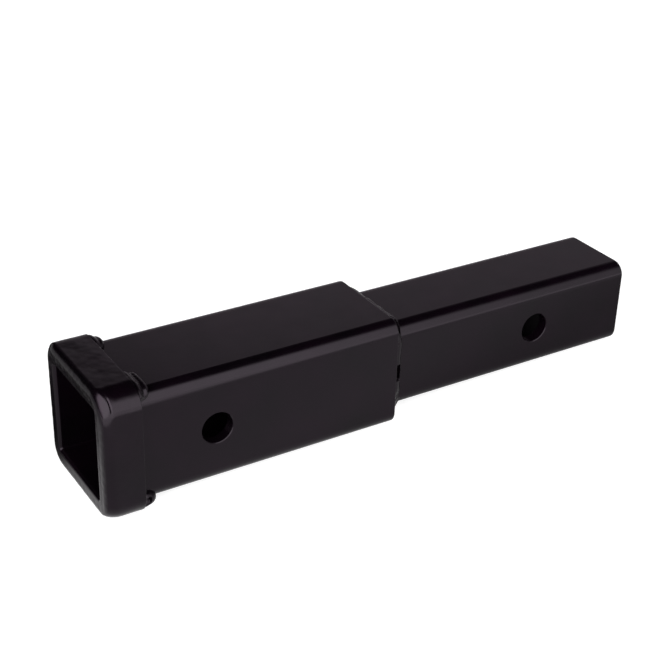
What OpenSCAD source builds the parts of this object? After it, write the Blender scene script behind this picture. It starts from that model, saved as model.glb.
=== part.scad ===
// Receiver hitch extender: a square receiver tube with a reinforced mouth, welded to a smaller
// square shank. X runs along the tubes from the mouth at 0 to the shank's free end, Y is along
// the pins, Z is up, and the origin is the centre of the mouth.

/* [Hitch size] */
// Side of the square shank that this hitch size takes
shank_w = 50.8; // [50:0.1:52]
// Clearance between a shank and the socket, on each side
slip_gap = 0.25; // [0.15:0.05:0.5]
// Diameter of the pin holes
pin_hole_d = 17.5; // [14:0.25:19]
// Bevel of the pin holes' outer rims
pin_bevel = 0.4; // [0.2:0.1:1]

/* [Receiver tube] */
// Length of the receiver tube, from the mouth to the shoulder
receiver_l = 172.5; // [140:0.5:260]
// Wall thickness of the receiver tube
tube_wall = 6.1; // [5:0.1:8]
// Inside corner radius of the receiver tube
socket_corner_r = 1.3; // [0.2:0.1:2]
// Distance from the mouth to the receiver's pin hole
receiver_pin_x = 63.5; // [50:0.5:80]

/* [Collar] */
// Thickness of the bar that is bent into the collar
collar_t = 5; // [3.5:0.25:8]
// Length of the collar along the tube
collar_l = 21.5; // [16:0.5:40]
// Rounding of the mouth's inner edge
lip_in_r = 2; // [1:0.1:3]
// Rounding of the mouth's outer edge
lip_out_r = 5.6; // [3:0.1:6]
// Rounding of the collar's outer rear edge
collar_rear_r = 0.5; // [0.3:0.1:2]

/* [Shank] */
// Length of the shank that stands out of the receiver tube
shank_reach = 164; // [120:1:260]
// Length of the shank inside the receiver tube
shank_insert = 38; // [20:1:60]
// Wall thickness of the shank
shank_wall = 6.35; // [4:0.05:9]
// Inside corner radius of the shank
hollow_corner_r = 1.25; // [0.2:0.05:2]
// Distance from the shank's free end to its pin hole
shank_pin_setback = 64.5; // [40:0.5:90]
// Rounding of the cut tube ends
cut_edge_r = 0.8; // [0.3:0.1:1.5]

/* [Welds] */
// Width of the groove that the mouth weld fills
groove_w = 5; // [3:0.25:5.5]
// Depth of the groove that the mouth weld fills
groove_depth = 3.5; // [2.5:0.25:5]
// Length of the shoulder bead along the shank
shoulder_bead_l = 7.5; // [4:0.25:12]
// Length of the collar's rear beads along the tube
collar_bead_l = 7; // [3:0.25:10]
// How far the collar's rear beads run from each corner along the sides
collar_bead_run = 9; // [4:0.5:20]
// How far the beads bulge out of a flat fillet
bead_crown = 0.9; // [0.3:0.1:1]
// Flat left between a bead and the rounded edge above it
bead_land = 0.1; // [0.05:0.05:0.5]

/* [Hidden] */
$fn = 96;
// How far a cut passes the face that it starts from
overcut = 1;
paint = [0.105, 0.1, 0.108];
bead_paint = [0.15, 0.145, 0.155];

socket_w = shank_w + 2 * slip_gap;
tube_w = socket_w + 2 * tube_wall;
tube_corner_r = socket_corner_r + tube_wall;
// Distance from the axis to the corner centres of the receiver tube and all that wraps it
tube_centres = socket_w / 2 - socket_corner_r;

hollow_w = shank_w - 2 * shank_wall;
shank_corner_r = hollow_corner_r + shank_wall;
shank_centres = hollow_w / 2 - hollow_corner_r;
shank_start_x = receiver_l - shank_insert;
shank_end_x = receiver_l + shank_reach;
shank_pin_x = shank_end_x - shank_pin_setback;

// The lip goes over the tube's wall and the collar, and is flat between its two roundings
lip_flat_r = socket_corner_r + lip_in_r;
collar_corner_r = tube_corner_r + collar_t;
lip_outer_start_r = collar_corner_r - lip_out_r;

// Stands what is drawn along Z along the tubes, with its base at x
module along_tube(x) {
    translate([x, 0, 0]) rotate([0, 90, 0]) children();
}

// Sweeps a profile round a square with round corners, whose corner centres lie at centres from
// the axis. The profile's X is measured out from the corner centres and its Y along the axis.
module sweep_square(centres) {
    for (quarter = [0:3]) rotate([0, 0, 90 * quarter]) translate([centres, centres, 0]) {
        rotate_extrude(angle = 90) children();
        rotate([90, 0, 0]) linear_extrude(2 * centres) children();
    }
}

// Sweeps a profile round each corner of such a square, and on along both sides by run
module sweep_corners(centres, run) {
    for (quarter = [0:3]) rotate([0, 0, 90 * quarter]) translate([centres, centres, 0]) {
        rotate_extrude(angle = 90) children();
        rotate([90, 0, 0]) linear_extrude(run) children();
        translate([-run, 0, 0]) rotate([90, 0, 90]) linear_extrude(run) children();
    }
}

module quarter_disc(r) {
    intersection() {
        circle(r);
        square(r);
    }
}

// Profile of a cut tube end, with its outer edge rounded
module cut_end(inner_r, outer_r) {
    translate([inner_r, 0]) square([outer_r - inner_r - cut_edge_r, cut_edge_r]);
    translate([outer_r - cut_edge_r, 0]) quarter_disc(cut_edge_r);
}

// Profile of the mouth's lip, over the tube's wall and the collar together
module lip(length) {
    translate([lip_flat_r, lip_in_r]) rotate(180) quarter_disc(lip_in_r);
    translate([socket_corner_r, lip_in_r]) square([lip_in_r, length - lip_in_r]);
    translate([lip_flat_r, 0]) square([lip_outer_start_r - lip_flat_r, length]);
    translate([lip_outer_start_r, lip_out_r]) rotate(-90) quarter_disc(lip_out_r);
    translate([lip_outer_start_r, lip_out_r]) square([lip_out_r, length - lip_out_r]);
}

// The V groove between the tube's end and the collar
module groove() {
    translate([tube_corner_r, 0]) polygon([
        [0, groove_depth], [groove_w / 2, 0], [groove_w / 2, -overcut],
        [-groove_w / 2, -overcut], [-groove_w / 2, 0]
    ]);
}

// Profile of a fillet bead from the end face at Y 0 to the side at X 0, with a round crown
module bead(leg_out, leg_along) {
    half_chord = norm([leg_out, leg_along]) / 2;
    bead_r = (half_chord * half_chord + bead_crown * bead_crown) / (2 * bead_crown);
    sink = bead_r - bead_crown;
    out = [leg_along, leg_out] / (2 * half_chord);
    intersection() {
        square([leg_out, leg_along]);
        translate([leg_out, leg_along] / 2 - out * sink) circle(bead_r);
    }
}

// A pin hole through both walls of a tube of width w, with bevelled outer rims
module pin_hole(x, w) {
    translate([x, 0, 0]) rotate([90, 0, 0]) {
        cylinder(h = w + 2 * overcut, d = pin_hole_d, center = true);
        for (side = [0, 1]) mirror([0, 0, side]) translate([0, 0, w / 2 - pin_bevel])
            cylinder(h = pin_bevel + overcut, r1 = pin_hole_d / 2,
                     r2 = pin_hole_d / 2 + pin_bevel + overcut);
    }
}

module receiver_tube() {
    rear_x = receiver_l - cut_edge_r;
    color(paint) difference() {
        along_tube(0) sweep_square(tube_centres) {
            difference() {
                intersection() {
                    lip(rear_x);
                    translate([socket_corner_r, 0]) square([tube_wall, rear_x]);
                }
                groove();
            }
            translate([0, rear_x]) cut_end(socket_corner_r, tube_corner_r);
        }
        pin_hole(receiver_pin_x, tube_w);
    }
}

module reinforcement_collar() {
    rear_x = collar_l - collar_rear_r;
    color(paint) along_tube(0) sweep_square(tube_centres) {
        difference() {
            intersection() {
                lip(rear_x);
                translate([tube_corner_r, 0]) square([collar_t, rear_x]);
            }
            groove();
        }
        translate([tube_corner_r, rear_x]) square([collar_t - collar_rear_r, collar_rear_r]);
        translate([collar_corner_r - collar_rear_r, rear_x]) quarter_disc(collar_rear_r);
    }
}

module mouth_weld() {
    color(bead_paint) along_tube(0) sweep_square(tube_centres) intersection() {
        lip(collar_l);
        groove();
    }
}

module collar_rear_weld() {
    color(bead_paint) along_tube(collar_l) sweep_corners(tube_centres, collar_bead_run)
        translate([tube_corner_r, 0]) bead(collar_t - collar_rear_r - bead_land, collar_bead_l);
}

module shoulder_weld() {
    color(bead_paint) along_tube(receiver_l) sweep_square(shank_centres)
        translate([shank_corner_r, 0])
            bead(tube_wall + slip_gap - cut_edge_r - bead_land, shoulder_bead_l);
}

module shank() {
    straight_l = shank_end_x - shank_start_x - 2 * cut_edge_r;
    color(paint) difference() {
        along_tube(shank_start_x + cut_edge_r) sweep_square(shank_centres) {
            mirror([0, 1]) cut_end(hollow_corner_r, shank_corner_r);
            translate([hollow_corner_r, 0]) square([shank_wall, straight_l]);
            translate([0, straight_l]) cut_end(hollow_corner_r, shank_corner_r);
        }
        pin_hole(shank_pin_x, shank_w);
    }
}

receiver_tube();
reinforcement_collar();
mouth_weld();
collar_rear_weld();
shoulder_weld();
shank();
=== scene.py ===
import math

import bpy
import numpy as np
from mathutils import Matrix, Vector, noise


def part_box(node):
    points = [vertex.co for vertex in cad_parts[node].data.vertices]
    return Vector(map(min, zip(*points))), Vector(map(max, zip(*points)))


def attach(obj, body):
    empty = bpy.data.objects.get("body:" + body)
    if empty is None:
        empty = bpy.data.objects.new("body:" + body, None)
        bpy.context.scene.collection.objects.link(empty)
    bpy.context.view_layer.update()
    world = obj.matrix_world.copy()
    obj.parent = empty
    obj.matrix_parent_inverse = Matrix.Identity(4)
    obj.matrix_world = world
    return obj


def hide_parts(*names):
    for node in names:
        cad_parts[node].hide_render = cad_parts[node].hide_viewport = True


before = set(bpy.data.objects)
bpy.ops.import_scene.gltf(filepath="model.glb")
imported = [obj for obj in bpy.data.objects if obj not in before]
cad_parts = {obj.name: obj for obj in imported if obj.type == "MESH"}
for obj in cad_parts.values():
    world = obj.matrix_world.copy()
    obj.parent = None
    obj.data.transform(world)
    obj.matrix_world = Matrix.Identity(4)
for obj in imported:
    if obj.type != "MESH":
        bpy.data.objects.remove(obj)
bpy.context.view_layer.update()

MM = 0.001

# Camera, solved against the outline and the pin holes. Azimuth 0 looks along +Y.
IMAGE_SIZE = (669, 671)
FOCAL_PIXELS = 1406.0
CAMERA_PLACE = Vector((-0.2091, -0.5680, 0.3838))
CAMERA_AZIMUTH = math.radians(32.42)
CAMERA_ELEVATION = math.radians(28.75)
CAMERA_ROLL = math.radians(-0.167)
SENSOR_WIDTH = 36.0

# Corner radii of the tubes, which the frame's boxes don't give, and the roundings of the
# receiver tube's cut edge and of the collar's rear edge
TUBE_CORNER_R = 7.4 * MM
SHANK_CORNER_R = 7.6 * MM
CUT_EDGE_R = 0.8 * MM
COLLAR_REAR_R = 0.3 * MM
# How far a bead's toe stays from the edge, and how deep a bead sits in the steel
BEAD_LAND = 0.1 * MM
BEAD_SINK = 0.03 * MM
# The angle from which an edge is shaded as a sharp one
SHARP_ANGLE = math.radians(50)

# Satin black paint: its plain black, its gloss and the tint of what it mirrors
PAINT_BLACK = (0.0012, 0.0008, 0.0013)
PAINT_IOR = 1.5
PAINT_SPECULAR = 0.21
PAINT_SPECULAR_TINT = (1.0, 0.86, 1.0)
# Scales per metre of the noise in its tint, its gloss, its orange peel and its grain, and the
# range of the noise's values over which tint and gloss change
TINT_SCALE = 38.0
GLOSS_SCALE = 90.0
PEEL_SCALE = 260.0
GRAIN_SCALE = 1500.0
NOISE_RANGE = (0.3, 0.7)
# How far the roughness strays, and the heights of the peel and the grain
ROUGHNESS_SPREAD = 0.03
PEEL_HEIGHT = 0.06 * MM
GRAIN_HEIGHT = 0.01 * MM
# Roughness, strength of the orange peel and warm tint of the coat on steel and on the welds
STEEL_COAT = (0.20, 0.12, (0.0024, 0.0009, 0.0022))
WELD_COAT = (0.26, 0.2, (0.0022, 0.0010, 0.0020))


def new_material(name):
    """An empty node material with its output, and its node tree."""
    material = bpy.data.materials.new(name)
    material.use_nodes = True
    tree = material.node_tree
    tree.nodes.clear()
    output = tree.nodes.new("ShaderNodeOutputMaterial")
    return material, tree, output


def noise_node(tree, coordinates, scale, detail):
    """Noise at the coordinates, from 0 to 1."""
    node = tree.nodes.new("ShaderNodeTexNoise")
    node.inputs["Scale"].default_value = scale
    node.inputs["Detail"].default_value = detail
    tree.links.new(coordinates, node.inputs["Vector"])
    return node.outputs["Fac"]


def map_range(tree, value, low, high, to_low, to_high):
    """The value's share of the way from low to high, spread over the other two."""
    node = tree.nodes.new("ShaderNodeMapRange")
    node.inputs["From Min"].default_value = low
    node.inputs["From Max"].default_value = high
    node.inputs["To Min"].default_value = to_low
    node.inputs["To Max"].default_value = to_high
    tree.links.new(value, node.inputs["Value"])
    return node.outputs["Result"]


def bump_node(tree, height, distance, strength, below=None):
    """A normal bent by the height, on top of the one below."""
    node = tree.nodes.new("ShaderNodeBump")
    node.inputs["Distance"].default_value = distance
    node.inputs["Strength"].default_value = strength
    tree.links.new(height, node.inputs["Height"])
    if below is not None:
        tree.links.new(below, node.inputs["Normal"])
    return node.outputs["Normal"]


def satin_coat(name, roughness, peel, tint):
    """Satin black paint over steel: a near-black colour that drifts a little between a neutral
    and a warm tint, faint orange peel, and a gloss that varies from patch to patch."""
    material, tree, output = new_material(name)
    shader = tree.nodes.new("ShaderNodeBsdfPrincipled")
    place = tree.nodes.new("ShaderNodeTexCoord").outputs["Object"]

    patches = noise_node(tree, place, TINT_SCALE, 3.0)
    colour = tree.nodes.new("ShaderNodeMix")
    colour.data_type = "RGBA"
    colour.inputs["A"].default_value = (*PAINT_BLACK, 1)
    colour.inputs["B"].default_value = (*tint, 1)
    tree.links.new(map_range(tree, patches, *NOISE_RANGE, 0.0, 1.0), colour.inputs["Factor"])
    tree.links.new(colour.outputs["Result"], shader.inputs["Base Color"])

    gloss = noise_node(tree, place, GLOSS_SCALE, 4.0)
    low, high = roughness - ROUGHNESS_SPREAD, roughness + ROUGHNESS_SPREAD
    tree.links.new(map_range(tree, gloss, *NOISE_RANGE, low, high), shader.inputs["Roughness"])

    waves = noise_node(tree, place, PEEL_SCALE, 2.0)
    grain = noise_node(tree, place, GRAIN_SCALE, 2.0)
    normal = bump_node(tree, waves, PEEL_HEIGHT, peel)
    normal = bump_node(tree, grain, GRAIN_HEIGHT, peel, normal)
    tree.links.new(normal, shader.inputs["Normal"])

    shader.inputs["IOR"].default_value = PAINT_IOR
    shader.inputs["Specular IOR Level"].default_value = PAINT_SPECULAR
    shader.inputs["Specular Tint"].default_value = (*PAINT_SPECULAR_TINT, 1)
    tree.links.new(shader.outputs["BSDF"], output.inputs["Surface"])
    return material


def assign(piece, material):
    piece.data.materials.clear()
    piece.data.materials.append(material)


def corner_path(centres, radius, along):
    """Stations round a square with round corners, at the given lengths along its outline: the
    nearest points of the square of corner centres, and the outward directions."""
    side = 2 * centres
    arc = math.pi / 2 * radius
    quarter = side + arc
    index = np.floor(along / quarter).astype(int)
    rest = along - index * quarter
    turn = np.clip((rest - side) / arc, 0, 1) * math.pi / 2 + index * math.pi / 2
    start = index * math.pi / 2
    slide = np.clip(rest, 0, side) - centres
    outward = np.stack([np.cos(turn), np.sin(turn)], 1)
    face = np.stack([np.cos(start), np.sin(start)], 1)
    tangent = np.stack([-np.sin(start), np.cos(start)], 1)
    middle = face * centres + tangent * slide[:, None]
    return middle, outward


def smooth_noise(along, length, cell, seed):
    """Random values every cell, joined smoothly, on a closed path of the given length."""
    cells = max(4, round(length / cell))
    values = np.random.default_rng(seed).uniform(-1, 1, cells)
    t = along / length * cells
    i = np.floor(t).astype(int)
    f = t - i
    f = f * f * (3 - 2 * f)
    return values[i % cells] * (1 - f) + values[(i + 1) % cells] * f


def bead_profile(leg_out, leg_along, power, steps):
    """Points and normals of a fillet bead's face, from its toe on the end face to its toe on
    the side, station by station. A power over one bulges, a power under one is hollow."""
    turn = np.linspace(0, math.pi / 2, steps)[None, :]
    lift = 2 / power[:, None]
    out = leg_out[:, None] * np.cos(turn) ** lift
    along = leg_along[:, None] * np.sin(turn) ** lift
    points = np.stack([out, along], 2)
    tangent = np.gradient(points, axis=1)
    normal = np.stack([tangent[:, :, 1], -tangent[:, :, 0]], 2)
    size = np.linalg.norm(normal, axis=2, keepdims=True)
    return points, normal / np.maximum(size, 1e-9)


def strip_mesh(sections, closed, first):
    """Faces that join sections of equal counts of points into a closed ring, or into a strip
    with capped ends. Vertex numbers start at first."""
    count, rows = sections
    faces = []
    for i in range(count if closed else count - 1):
        here = first + i * rows
        there = first + (i + 1) % count * rows
        for k in range(rows):
            m = (k + 1) % rows
            faces.append((here + k, there + k, there + m, here + m))
    if not closed:
        faces.append(tuple(first + k for k in range(rows)))
        faces.append(tuple(first + (count - 1) * rows + k for k in reversed(range(rows))))
    return faces


def new_piece(name, vertices, faces):
    """An object in the scene with a mesh that is smooth but for its sharp edges."""
    mesh = bpy.data.meshes.new(name)
    mesh.from_pydata(vertices, [], faces)
    mesh.update()
    mesh.shade_smooth()
    mesh.set_sharp_from_angle(angle=SHARP_ANGLE)
    piece = bpy.data.objects.new(name, mesh)
    bpy.context.scene.collection.objects.link(piece)
    return piece


# How far each of the collar's rear beads runs on along the side before and after its corner,
# from the corner between +Y and +Z on
COLLAR_BEAD_RUNS = ((6 * MM, 6 * MM), (13 * MM, -4 * MM), (0 * MM, 8 * MM), (8 * MM, 8 * MM))
COLLAR_BEAD_TAPER = 6 * MM
# Pitch and height of the two beads' ripples, and the seeds of their chance
SHOULDER_RIPPLES = (2.3 * MM, 0.3 * MM)
COLLAR_RIPPLES = (2.1 * MM, 0.2 * MM)
SHOULDER_SEED = 3
COLLAR_SEED = 8
# Shapes of the two beads: place, bulge, shares of both legs and depth of the valley
COLLAR_SHAPES = (
    (0.7, 2.0, 1.0, 0.95, 0.5 * MM), (1.0, 2.0, 1.0, 0.9, 1.0 * MM),
    (1.9, 2.2, 1.0, 1.0, 1.3 * MM), (2.5, 2.4, 1.0, 1.0, 0.2 * MM), (3.5, 2.2, 1.0, 1.0, 0.2 * MM),
)
SHOULDER_SHAPES = (
    (0.0, 1.3, 0.9, 1.0, 0.0), (1.67, 1.3, 0.9, 1.0, 0.0), (1.82, 2.0, 1.0, 0.85, 0.0),
    (2.00, 2.6, 1.0, 0.58, 0.0), (2.48, 2.6, 1.0, 0.58, 0.0), (2.62, 0.9, 1.0, 0.97, 0.0),
    (3.80, 0.9, 1.0, 0.97, 0.0),
)
# The valley's distance from the end face and its width
VALLEY_X = 2.8 * MM
VALLEY_WIDTH = 1.4 * MM
# Craters beside the end faces: the heights of the shoulder's on the near side, where those at
# the near corners start and end in the corner's arc, the widths of the three and their depth,
# the length of their ends and the width of their edges
PIT_FROM_Z = 6 * MM
PIT_TO_Z = -4.5 * MM
PIT_WIDTH = 3.2 * MM
SHOULDER_CORNER_PIT = (3.0 * MM, 12.0 * MM, 4.4 * MM)
COLLAR_CORNER_PIT = (2.0 * MM, 7.0 * MM, 3.4 * MM)
PIT_DEPTH = 3.5 * MM
PIT_END = 2.0 * MM
PIT_EDGE = 0.5 * MM
# How a bead strays as it is laid: the lengths in which its legs, its ripples and its bulge
# change, the mean leg, and how far the leg, the bulge and a ripple's place stray
LEG_CELL = 5 * MM
BULGE_CELL = 6 * MM
MEAN_LEG = 0.97
LEG_DRIFT = 0.10
BULGE_DRIFT = 0.12
RIPPLE_DRIFT = 0.25
# How far the ripples' crescents bow, how steep their fronts are, the level in them where the
# bead's face lies, and the bulge over which they grow shallow
RIPPLE_BOW = 0.9
RIPPLE_LEAN = 0.75
RIPPLE_LEVEL = 0.7
RIPPLE_BULGE = 1.3
STATIONS_PER_RIPPLE = 11
# Size of a bead's very tip
TIP_SIZE = 0.03


class Bead:
    """How one fillet bead is laid: the end face that it starts from, the square tube that it
    runs round, its legs, and the pitch and height of its crescent ripples. Each of its shapes
    gives a place, in sides with their corners from the side +Y on, and there the bulge, the
    shares of both legs and the depth of a valley between the end face and the crest."""

    steps = 36
    pits = ()

    def __init__(self, x, centres, corner_r, legs, ripples, shapes, seed):
        self.x = x
        self.centres = centres
        self.corner_r = corner_r
        self.leg_out, self.leg_along = legs
        self.pitch, self.ripple = ripples
        self.seed = seed
        self.mid_r = corner_r + self.leg_out / 2
        self.side = 2 * centres
        self.quarter = self.side + math.pi / 2 * self.mid_r
        self.length = 4 * self.quarter
        self.shapes = shapes

    def noise(self, along, cell, offset):
        return smooth_noise(along, self.length, cell, self.seed + offset)

    def surface(self, along, size):
        """Vertices of the bead's sections at the given lengths along its path. Size scales
        the legs, station by station."""
        middle, outward = corner_path(self.centres, self.mid_r, along % self.length)
        places, *columns = zip(*self.shapes)
        sides = along % self.length / self.quarter
        power, share_out, share_along, valley = (
            np.interp(sides, places, values, period=4) for values in columns
        )
        legs_out = self.leg_out * share_out * size
        legs_along = self.leg_along * share_along * size
        legs_along = legs_along * (MEAN_LEG + LEG_DRIFT * self.noise(along, LEG_CELL, 0))
        power = power * (1 + BULGE_DRIFT * self.noise(along, BULGE_CELL, 3))
        points, normal = bead_profile(legs_out, legs_along, power, self.steps)
        share = np.linspace(-1, 1, self.steps)

        ripples = round(self.length / self.pitch)
        uneven = RIPPLE_DRIFT * self.noise(along, LEG_CELL, 2)
        bow = RIPPLE_BOW * share[None, :] ** 2
        phase = (along / self.length * ripples + uneven)[:, None] + bow
        saw = phase - np.floor(phase)
        ridge = np.sin(np.pi * saw ** RIPPLE_LEAN)
        fade = np.cos(share * math.pi / 2)[None, :] ** 0.5
        height = self.ripple * size * np.minimum(1, RIPPLE_BULGE / power) ** 2
        lift = height[:, None] * (ridge - RIPPLE_LEVEL) * fade
        points = points + normal * lift[:, :, None]
        hollow = np.exp(-((points[:, :, 1] - VALLEY_X) / VALLEY_WIDTH) ** 2)
        points[:, :, 0] -= (valley * size)[:, None] * hollow
        for start, end, width in self.pits:
            points[:, :, 0] -= self.pit_depth(along, points[:, :, 1], start, end, width)
        points = np.maximum(points, -BEAD_SINK)

        root = np.full((len(along), 1, 2), -BEAD_SINK)
        points[:, 0, 1] = -BEAD_SINK
        points[:, -1, 0] = -BEAD_SINK
        section = np.concatenate([points, root], 1)
        out = self.corner_r + section[:, :, 0]
        flat = middle[:, None, :] + outward[:, None, :] * out[:, :, None]
        depth = self.x + section[:, :, 1]
        return np.stack([depth, flat[:, :, 0], flat[:, :, 1]], 2)

    def pit_depth(self, along, from_face, start, end, width):
        """A crater beside the end face, between two lengths along the path."""
        ends = np.clip(np.minimum(along - start, end - along) / PIT_END, 0, 1)
        wall = np.clip((width - from_face) / PIT_EDGE, 0, 1)
        return PIT_DEPTH * ends[:, None] * wall * (3 - 2 * wall) * wall

    def ring(self, name):
        """The bead all the way round."""
        count = round(self.length / (self.pitch / STATIONS_PER_RIPPLE))
        along = np.arange(count) * (self.length / count)
        sections = self.surface(along, np.ones(count))
        faces = strip_mesh(sections.shape[:2], True, 0)
        return new_piece(name, sections.reshape(-1, 3).tolist(), faces)

    def corners(self, name, runs, taper):
        """A bead at each corner, which runs on along the sides before and after it and
        tapers to rounded ends."""
        vertices = []
        faces = []
        for index, (before, after) in enumerate(runs):
            start = index * self.quarter + self.side - before
            end = (index + 1) * self.quarter + after
            count = round((end - start) / (self.pitch / STATIONS_PER_RIPPLE))
            along = np.linspace(start, end, count)
            from_end = np.minimum(along - start, end - along) / taper
            size = np.sqrt(1 - (1 - np.clip(from_end, TIP_SIZE, 1)) ** 2)
            sections = self.surface(along, size)
            faces += strip_mesh(sections.shape[:2], False, len(vertices))
            vertices += sections.reshape(-1, 3).tolist()
        return new_piece(name, vertices, faces)


# The collar as its bar came out of the bending: its outer corners are tighter than the tube's
# corners and its own thickness make them, and its front edge has a tight and a wide rounding
COLLAR_CORNER_RADII = (
    (11.0 * MM, 11.0 * MM), (14.5 * MM, 9.5 * MM), (11.0 * MM, 11.0 * MM), (11.0 * MM, 11.0 * MM),
)
FRONT_TIGHT_R = 1.5 * MM
FRONT_WIDE_R = 6.5 * MM
FRONT_FLAT_FROM = 3.1 * MM
# The one soft rounding that the front edge has on the near side and, larger, at the bottom
SOFT_FROM = 1.0 * MM
SOFT_REACH = 6.0 * MM
LOW_REACH = 9.0 * MM
# Dents of the bar, and the fold in its front edge at the near top corner
DENT_SIZE = 8 * MM
DENT_DEPTH = 0.10 * MM
DENT_LEVEL = 0.8
FINE_DENT_SHARE = 0.35
FINE_DENT_SCALE = 2.7
FOLD_X = 5.0 * MM
FOLD_FROM_Z = 28.0 * MM
FOLD_TO_Z = 35.0 * MM
FOLD_END = 2.0 * MM
FOLD_WIDTH = 0.45 * MM
FOLD_DEPTH = 1.0 * MM
# The flat ground on the collar's near top corner in front: the way that it faces, its distance
# from the middle of the mouth and the width over which it runs into the rest
FLAT_WAY = (-0.695, -0.543, 0.470)
FLAT_AT = 30.0 * MM
FLAT_BLEND = 2.4 * MM
# The mouth weld's groove, to each side of the tube's outside and deep, and its ground face
GROOVE_HALF = 2.5 * MM
GROOVE_DEPTH = 3.5 * MM
GROUND_SINK = 0.03 * MM
GROUND_SIZE = 3 * MM
GROUND_DEPTH = 0.10 * MM
GROUND_LEVEL = 0.4
# Stations on each side and in each corner, of the collar's bar and of the mouth weld
BAR_STATIONS = (70, 26)
GROUND_STATIONS = (100, 14)
# Points on the section's wide and tight roundings, outside, rear edge and rear face, and on the
# mouth weld's ground face
WIDE_POINTS = 14
TIGHT_POINTS = 8
OUTSIDE_POINTS = 36
REAR_EDGE_POINTS = 7
REAR_FACE_POINTS = 8
GROUND_POINTS = 16


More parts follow.
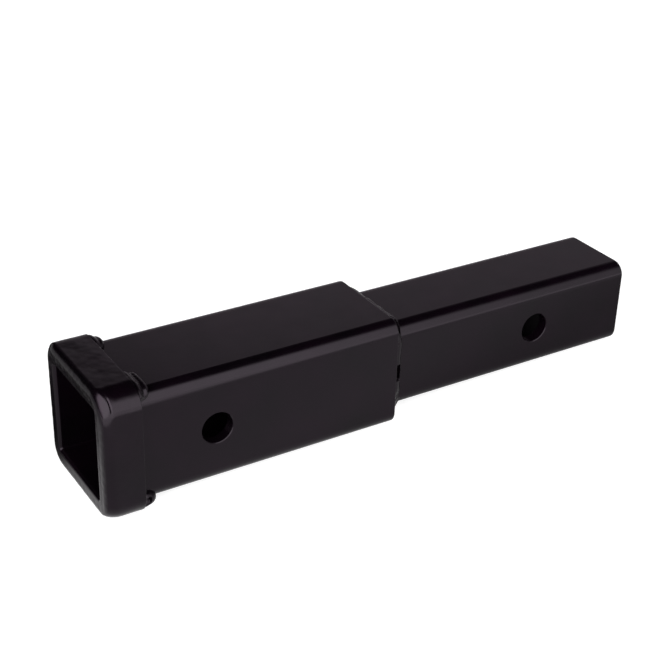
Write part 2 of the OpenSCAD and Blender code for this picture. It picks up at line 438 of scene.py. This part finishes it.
class CollarSweep:
    """Sweeps sections round the collar, inside on the tube and outside on the collar's own
    corners. A section's points are depth along the tube and height over its outside."""

    def __init__(self):
        low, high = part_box("reinforcement_collar")
        self.tube_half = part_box("receiver_tube")[1].z
        self.half = high.z
        self.length = high.x - low.x
        self.thickness = self.half - self.tube_half

    def front_edge(self):
        """Centres of the front edge's tight and wide roundings, and the angle where they
        meet, measured up from the way to the mouth."""
        tight_at = (FRONT_FLAT_FROM, self.thickness - FRONT_TIGHT_R)
        step = FRONT_WIDE_R - FRONT_FLAT_FROM
        rise = math.sqrt((FRONT_WIDE_R - FRONT_TIGHT_R) ** 2 - step ** 2)
        return tight_at, (FRONT_WIDE_R, tight_at[1] - rise), math.atan2(rise, step)

    def softness(self, index, turn):
        """How far a station's front edge has turned into one soft rounding, and how far back
        that one reaches."""
        share = min(1.0, turn / (math.pi / 4))
        if index == 1:
            return share, SOFT_REACH
        if index == 2:
            return 1.0, SOFT_REACH + share * (LOW_REACH - SOFT_REACH)
        if index == 3:
            return 1.0 - share, LOW_REACH
        return 0.0, SOFT_REACH

    def soften(self, depth, height, weight, reach):
        """The height of a point of the front edge, lowered towards the soft rounding."""
        share = min(1.0, depth / reach)
        soft = SOFT_FROM + (self.thickness - SOFT_FROM) * math.sqrt(1 - (1 - share) ** 2)
        return height - weight * max(0.0, height - soft)

    def arc(self, centre, radius, low, high, count):
        """Points of a rounding and the ways that it faces there."""
        angles = np.linspace(low, high, count)
        ways = np.stack([-np.cos(angles), np.sin(angles)], 1)
        return [(tuple(np.array(centre) + radius * way), tuple(way)) for way in ways]

    def collar_section(self):
        """The collar's groove side, front edge, outside, rear edge and rear face."""
        tight_at, wide_at, meet = self.front_edge()
        start = math.asin((GROOVE_HALF - wide_at[1]) / FRONT_WIDE_R)
        rear = self.length - COLLAR_REAR_R
        section = [((GROOVE_DEPTH, -BEAD_SINK), (0.0, 0.0))]
        section += self.arc(wide_at, FRONT_WIDE_R, start, meet, WIDE_POINTS)
        section += self.arc(tight_at, FRONT_TIGHT_R, meet, math.pi / 2, TIGHT_POINTS)[1:]
        for depth in np.linspace(FRONT_FLAT_FROM, rear, OUTSIDE_POINTS)[1:-1]:
            section.append(((depth, self.thickness), (0.0, 1.0)))
        rear_at = (rear, self.thickness - COLLAR_REAR_R)
        section += self.arc(rear_at, COLLAR_REAR_R, math.pi / 2, math.pi, REAR_EDGE_POINTS)
        for height in np.linspace(rear_at[1], -BEAD_SINK, REAR_FACE_POINTS)[1:]:
            section.append(((self.length, height), (0.0, 0.0)))
        return section

    def groove_section(self):
        """The mouth weld's face, from the tube to the collar, and its root."""
        wide_at = self.front_edge()[1]
        section = []
        for height in np.linspace(-GROOVE_HALF, GROOVE_HALF, GROUND_POINTS):
            over = max(0.0, height - wide_at[1])
            depth = FRONT_WIDE_R - math.sqrt(FRONT_WIDE_R ** 2 - over ** 2)
            section.append(((depth + GROUND_SINK, height), (-1.0, 0.0)))
        section.append(((GROOVE_DEPTH, 0.0), (0.0, 0.0)))
        return section

    def corner_reach(self, index, turn):
        """How far a corner's outside has come along its first side and back from it."""
        first, second = COLLAR_CORNER_RADII[index]
        half = min(turn, math.pi / 4)
        reach = first * math.sin(half) + second * (math.sin(turn) - math.sin(half))
        back = first * (1 - math.cos(half)) + second * (math.cos(half) - math.cos(turn))
        return reach, back

    def outer_at(self, index, share, turn):
        """Place on the collar's outside, along the first side and out from the axis."""
        ahead = self.corner_reach(index, math.pi / 2)[0]
        behind = self.corner_reach(index - 1, math.pi / 2)[1]
        reach, back = self.corner_reach(index, turn)
        slide = (self.half - ahead) * (1 + share) / 2 - (self.half - behind) * (1 - share) / 2
        return slide + reach, self.half - back

    def ring(self, name, section, inset_at, stations):
        """The closed ring that the section makes, let in by inset_at. Stations says how many
        there are on a side and in a corner."""
        shares = np.linspace(-1, 1, stations[0])
        turns = np.linspace(0, math.pi / 2, stations[1])[1:-1]
        stations = [(index, share, 0.0) for index in range(4) for share in shares]
        stations += [(index, 1.0, turn) for index in range(4) for turn in turns]
        stations.sort()
        vertices = []
        for index, share, turn in stations:
            start = index * math.pi / 2
            face = np.array([math.cos(start), math.sin(start)])
            tangent = np.array([-math.sin(start), math.cos(start)])
            outward = np.array([math.cos(start + turn), math.sin(start + turn)])
            middle = face + tangent * share
            inner = middle * (self.tube_half - TUBE_CORNER_R) + outward * TUBE_CORNER_R
            along, out_to = self.outer_at(index, share, turn)
            outer = tangent * along + face * out_to
            soft = self.softness(index, turn)
            for (depth, height), (to_mouth, out) in section:
                if to_mouth or out:
                    height = self.soften(depth, height, *soft)
                if height < 0:
                    place = inner + outward * height
                else:
                    place = inner + (outer - inner) * height / self.thickness
                inset = 0.0
                if to_mouth or out:
                    inset = inset_at(depth, *place)
                place = place - outward * out * inset
                vertices.append(flatten((depth - to_mouth * inset, *place)))
        faces = strip_mesh((len(stations), len(section)), True, 0)
        return new_piece(name, vertices, faces)


def flatten(place):
    """The place moved onto the ground flat of the near top corner, if it stands over it."""
    way = Vector(FLAT_WAY).normalized()
    over = Vector(place).dot(way) - FLAT_AT
    soft = max(0.0, min(over, FLAT_BLEND) + FLAT_BLEND) ** 2 / (4 * FLAT_BLEND)
    return tuple(Vector(place) - way * (soft + max(0.0, over - FLAT_BLEND)))


def collar_inset(depth, across, up):
    """How far the collar's surface lies in at a place: its dents and the fold."""
    spot = Vector((depth, across, up)) / DENT_SIZE
    rough = noise.noise(spot) + FINE_DENT_SHARE * noise.noise(spot * FINE_DENT_SCALE)
    inset = DENT_DEPTH * max(0.0, DENT_LEVEL + rough)
    if across < 0 and up > 0:
        ends = min(up - FOLD_FROM_Z, FOLD_TO_Z - up) / FOLD_END + 0.5
        share = min(1.0, max(0.0, ends))
        inset += FOLD_DEPTH * share * math.exp(-((depth - FOLD_X) / FOLD_WIDTH) ** 2)
    return inset


def ground_inset(depth, across, up):
    """The mouth weld's face after grinding: shallow hollows."""
    spot = Vector((depth, across, up)) / GROUND_SIZE
    return GROUND_DEPTH * max(0.0, GROUND_LEVEL + noise.noise(spot))


def make_collar(coat):
    """The collar and the mouth weld, which have the same coat since both were ground."""
    sweep = CollarSweep()
    bar = sweep.ring("collar_bar", sweep.collar_section(), collar_inset, BAR_STATIONS)
    weld = sweep.ring("mouth_bead", sweep.groove_section(), ground_inset, GROUND_STATIONS)
    dressed = (
        (bar, "reinforcement_collar", "painted_collar"),
        (weld, "mouth_weld", "painted_weld"),
    )
    for piece, node, slot in dressed:
        assign(piece, coat)
        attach(piece, "root")
        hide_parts(node)


def corner_pit(bead, index, pit):
    """A crater in the arc of a bead's corner, given as lengths along the bead."""
    corner = index * bead.quarter + bead.side
    return corner + pit[0], corner + pit[1], pit[2]


def make_beads(material):
    """The shoulder's bead all round the shank, and the four at the collar's rear."""
    tube_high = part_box("receiver_tube")[1]
    collar_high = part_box("reinforcement_collar")[1]
    shank_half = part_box("shank")[1].z
    tube_half, collar_half = tube_high.z, collar_high.z
    shoulder_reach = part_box("shoulder_weld")[1].x - tube_high.x
    collar_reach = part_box("collar_rear_weld")[1].x - collar_high.x

    shoulder_legs = (tube_half - shank_half - BEAD_LAND, shoulder_reach + CUT_EDGE_R)
    shoulder_run = Bead(
        tube_high.x - CUT_EDGE_R, shank_half - SHANK_CORNER_R, SHANK_CORNER_R,
        shoulder_legs, SHOULDER_RIPPLES, SHOULDER_SHAPES, SHOULDER_SEED,
    )
    near_side = 2 * shoulder_run.quarter + shoulder_run.side / 2
    shoulder_run.pits = (
        (near_side - PIT_FROM_Z, near_side - PIT_TO_Z, PIT_WIDTH),
        corner_pit(shoulder_run, 1, SHOULDER_CORNER_PIT),
    )
    shoulder = shoulder_run.ring("shoulder_bead")

    collar_legs = (collar_half - tube_half - BEAD_LAND, collar_reach + COLLAR_REAR_R)
    collar_run = Bead(
        collar_high.x - COLLAR_REAR_R, tube_half - TUBE_CORNER_R, TUBE_CORNER_R,
        collar_legs, COLLAR_RIPPLES, COLLAR_SHAPES, COLLAR_SEED,
    )
    collar_run.pits = (corner_pit(collar_run, 2, COLLAR_CORNER_PIT),)
    rear = collar_run.corners("collar_beads", COLLAR_BEAD_RUNS, COLLAR_BEAD_TAPER)

    for piece, node in ((shoulder, "shoulder_weld"), (rear, "collar_rear_weld")):
        assign(piece, material)
        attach(piece, "root")
        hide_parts(node)


def rest_tilt():
    """The angle at which the part lies: on the collar's lower edge and the shank's free end."""
    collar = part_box("reinforcement_collar")[0].z
    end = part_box("shank")
    return math.atan2(end[0].z - collar, end[1].x)


def math_node(tree, operation, *values):
    """A maths node over sockets and plain numbers."""
    node = tree.nodes.new("ShaderNodeMath")
    node.operation = operation
    for slot, value in zip(node.inputs, values):
        if isinstance(value, (int, float)):
            slot.default_value = value
        else:
            tree.links.new(value, slot)
    return node.outputs["Value"]


def dot_node(tree, vector, way):
    """How far a vector reaches along a direction."""
    node = tree.nodes.new("ShaderNodeVectorMath")
    node.operation = "DOT_PRODUCT"
    node.inputs[1].default_value = Vector(way).normalized()
    tree.links.new(vector, node.inputs[0])
    return node.outputs["Value"]


def smooth_step(tree, value, low, high, to_low, to_high):
    """As map_range, but with a soft start and end."""
    result = map_range(tree, value, low, high, to_low, to_high)
    result.node.interpolation_type = "SMOOTHSTEP"
    return result


# How much lighter the camera sees the floor than the studio makes it, how much lighter the
# reflections do, close in front of the object and further out there, the floor's own grey, and
# how much darker reflections see the shade painted into the floor's grey on the left
CAMERA_LIFT = 0.8
FRONT_LIFT = 0.45
DISTANT_LIFT = 1.8
FLOOR_GREY = 0.4
PAINTED_SHADE_DEPTH = 0.95
# The way to the front, and the floor's size in metres
FRONT_WAY = (-0.3, -0.95, 0.0)
FLOOR_SIZE = 12.0
# Where both lifts of the front come in, along that way, and the four edges of the painted
# shade: left, right, behind the part, and a line that runs askew across the floor
FRONT_EDGE = (-60 * MM, 20 * MM)
DISTANT_EDGE = (120 * MM, 200 * MM)
SHADE_LEFT = (-58 * MM, -46 * MM)
SHADE_RIGHT = (60 * MM, 120 * MM)
SHADE_BACK = (20 * MM, 40 * MM)
SHADE_LINE = (-5 * MM, 15 * MM)
SHADE_LINE_SLOPE = 1.6


def floor_material():
    """A pale matt floor, which keeps the object's shadow. The camera sees it lighter than the
    studio alone makes it, so that it comes out white. Reflections see it as it is behind the
    object, lighter in front, and darker on the left behind the mouth, where a shade is painted
    into the floor's grey for reflections only."""
    material, tree, output = new_material("pale_floor")
    matt = tree.nodes.new("ShaderNodeBsdfDiffuse")
    rays = tree.nodes.new("ShaderNodeLightPath").outputs
    place = tree.nodes.new("ShaderNodeNewGeometry").outputs["Position"]
    split = tree.nodes.new("ShaderNodeSeparateXYZ")
    tree.links.new(place, split.inputs["Vector"])
    across, back = split.outputs["X"], split.outputs["Y"]
    # Painted shade: for reflections only, the floor's grey is darkened on the left behind the
    # mouth, where the part's shadow would fall
    skew = math_node(tree, "MULTIPLY_ADD", across, SHADE_LINE_SLOPE, back)
    shade = smooth_step(tree, across, *SHADE_LEFT, 0.0, PAINTED_SHADE_DEPTH)
    for edge in (
        smooth_step(tree, across, *SHADE_RIGHT, 1.0, 0.0),
        smooth_step(tree, skew, *SHADE_LINE, 0.0, 1.0),
        smooth_step(tree, back, *SHADE_BACK, 0.0, 1.0),
    ):
        shade = math_node(tree, "MULTIPLY", shade, edge)
    shade = math_node(tree, "MULTIPLY", shade, rays["Is Glossy Ray"])
    shade = math_node(tree, "MULTIPLY_ADD", shade, -FLOOR_GREY, FLOOR_GREY)
    tree.links.new(shade, matt.inputs["Color"])
    ahead = dot_node(tree, place, FRONT_WAY)
    front = smooth_step(tree, ahead, *FRONT_EDGE, 0.0, FRONT_LIFT)
    distant = smooth_step(tree, ahead, *DISTANT_EDGE, 0.0, DISTANT_LIFT)
    front = math_node(tree, "ADD", front, distant)
    direct = math_node(tree, "MAXIMUM", rays["Is Camera Ray"], rays["Is Transmission Ray"])
    level = math_node(tree, "MULTIPLY", direct, CAMERA_LIFT)
    level = math_node(tree, "MULTIPLY_ADD", rays["Is Glossy Ray"], front, level)
    glow = tree.nodes.new("ShaderNodeEmission")
    tree.links.new(level, glow.inputs["Strength"])
    both = tree.nodes.new("ShaderNodeAddShader")
    tree.links.new(matt.outputs["BSDF"], both.inputs[0])
    tree.links.new(glow.outputs["Emission"], both.inputs[1])
    tree.links.new(both.outputs["Shader"], output.inputs["Surface"])
    return material


def make_floor():
    """The floor touches the two edges that the part lies on, so it leans by the rest tilt."""
    tilt = rest_tilt()
    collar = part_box("reinforcement_collar")
    bpy.ops.mesh.primitive_plane_add(size=FLOOR_SIZE)
    floor = bpy.context.object
    floor.name = "floor"
    touch = Vector((collar[1].x, 0, collar[0].z))
    floor.matrix_world = Matrix.Translation(touch) @ Matrix.Rotation(-tilt, 4, "Y")
    assign(floor, floor_material())


# Brightness of the studio's wall and ceiling behind the camera, of the wall across from it, of
# that wall's dim left part, and of the soft light on the left
NEAR_WALL = 3.3
FAR_WALL = 0.5
DIM_WALL = 0.3
LEFT_LIGHT = 5.0
# The tint of the wall across, and the way to the soft light
FAR_TINT = (1.0, 0.88, 0.98)
LEFT_LIGHT_WAY = (-0.86, -0.30, 0.42)
# Where each part of the studio begins and ends, as reaches of a direction across, ahead and up:
# the wall across and its fade to the right, its dim left part, the dark ceiling, which hangs
# lower further back, the wall behind the camera and its fade to the right, the tint of the wall
# across, and the soft light
FAR_EDGE = (0.10, 0.40)
FAR_FADE = (0.40, 0.65)
FAR_FADE_TO = 0.75
DIM_EDGE = (-0.5, -0.2)
DIM_FOOT = (0.33, 0.50)
CEILING_EDGE = (0.56, 0.70)
CEILING_LEAN = 0.13
NEAR_EDGE = (-0.58, -0.24)
NEAR_FADE = (0.38, 0.66)
NEAR_FADE_TO = 0.4
TINT_EDGE = (-0.24, 0.0)
LIGHT_EDGE = (0.85, 0.96)


def make_world():
    """A studio that is bright behind the camera and dimmer across from it, with a soft light
    on the left and a dark ceiling over the object and beyond."""
    world = bpy.data.worlds.new("studio")
    bpy.context.scene.world = world
    world.use_nodes = True
    tree = world.node_tree
    tree.nodes.clear()
    output = tree.nodes.new("ShaderNodeOutputWorld")
    background = tree.nodes.new("ShaderNodeBackground")
    way = tree.nodes.new("ShaderNodeTexCoord").outputs["Generated"]
    split = tree.nodes.new("ShaderNodeSeparateXYZ")
    tree.links.new(way, split.inputs["Vector"])
    across, ahead, up = split.outputs["X"], split.outputs["Y"], split.outputs["Z"]

    right = smooth_step(tree, across, *FAR_EDGE, 0.0, FAR_WALL)
    fade = smooth_step(tree, across, *FAR_FADE, 1.0, FAR_FADE_TO)
    right = math_node(tree, "MULTIPLY", right, fade)
    left = smooth_step(tree, across, *DIM_EDGE, 0.0, DIM_WALL)
    left = math_node(tree, "MULTIPLY", left, smooth_step(tree, up, *DIM_FOOT, 0.0, 1.0))
    far = math_node(tree, "MAXIMUM", right, left)
    lean = math_node(tree, "MULTIPLY_ADD", ahead, CEILING_LEAN, up)
    far = math_node(tree, "MULTIPLY", far, smooth_step(tree, lean, *CEILING_EDGE, 1.0, 0.0))
    near = smooth_step(tree, ahead, *NEAR_EDGE, NEAR_WALL, 0.0)
    fade = smooth_step(tree, across, *NEAR_FADE, 1.0, NEAR_FADE_TO)
    near = math_node(tree, "MULTIPLY", near, fade)
    toward_light = dot_node(tree, way, LEFT_LIGHT_WAY)
    light = smooth_step(tree, toward_light, *LIGHT_EDGE, 0.0, LEFT_LIGHT)
    total = math_node(tree, "MAXIMUM", math_node(tree, "MAXIMUM", far, near), light)

    tint = tree.nodes.new("ShaderNodeMix")
    tint.data_type = "RGBA"
    tint.inputs["A"].default_value = (1, 1, 1, 1)
    tint.inputs["B"].default_value = (*FAR_TINT, 1)
    tree.links.new(map_range(tree, ahead, *TINT_EDGE, 0.0, 1.0), tint.inputs["Factor"])
    tree.links.new(tint.outputs["Result"], background.inputs["Color"])
    tree.links.new(total, background.inputs["Strength"])
    tree.links.new(background.outputs["Background"], output.inputs["Surface"])


def make_camera():
    """Level with the floor that the part lies on, but for a trace of roll."""
    tilt = rest_tilt()
    floor_up = Vector((-math.sin(tilt), 0, math.cos(tilt)))
    level = math.cos(CAMERA_ELEVATION)
    forward = Vector((
        math.sin(CAMERA_AZIMUTH) * level,
        math.cos(CAMERA_AZIMUTH) * level,
        -math.sin(CAMERA_ELEVATION),
    ))
    right = forward.cross(floor_up).normalized()
    up = right.cross(forward)
    right = right * math.cos(CAMERA_ROLL) + up * math.sin(CAMERA_ROLL)
    up = right.cross(forward)
    data = bpy.data.cameras.new("camera")
    data.sensor_width = SENSOR_WIDTH
    data.lens = FOCAL_PIXELS * SENSOR_WIDTH / max(IMAGE_SIZE)
    camera = bpy.data.objects.new("camera", data)
    turn = Matrix((right, up, -forward)).transposed().to_4x4()
    camera.matrix_world = Matrix.Translation(CAMERA_PLACE) @ turn
    bpy.context.scene.collection.objects.link(camera)
    bpy.context.scene.camera = camera


def dress_part():
    """Coats the tube and the shank, and stands the collar and the beads in for their nodes."""
    coat = satin_coat("satin_coat", *STEEL_COAT)
    for node in ("receiver_tube", "shank"):
        assign(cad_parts[node], coat)
    make_collar(coat)
    make_beads(satin_coat("satin_coat_on_weld", *WELD_COAT))


make_camera()
make_world()
make_floor()
dress_part()

bpy.context.scene.view_settings.view_transform = "Standard"
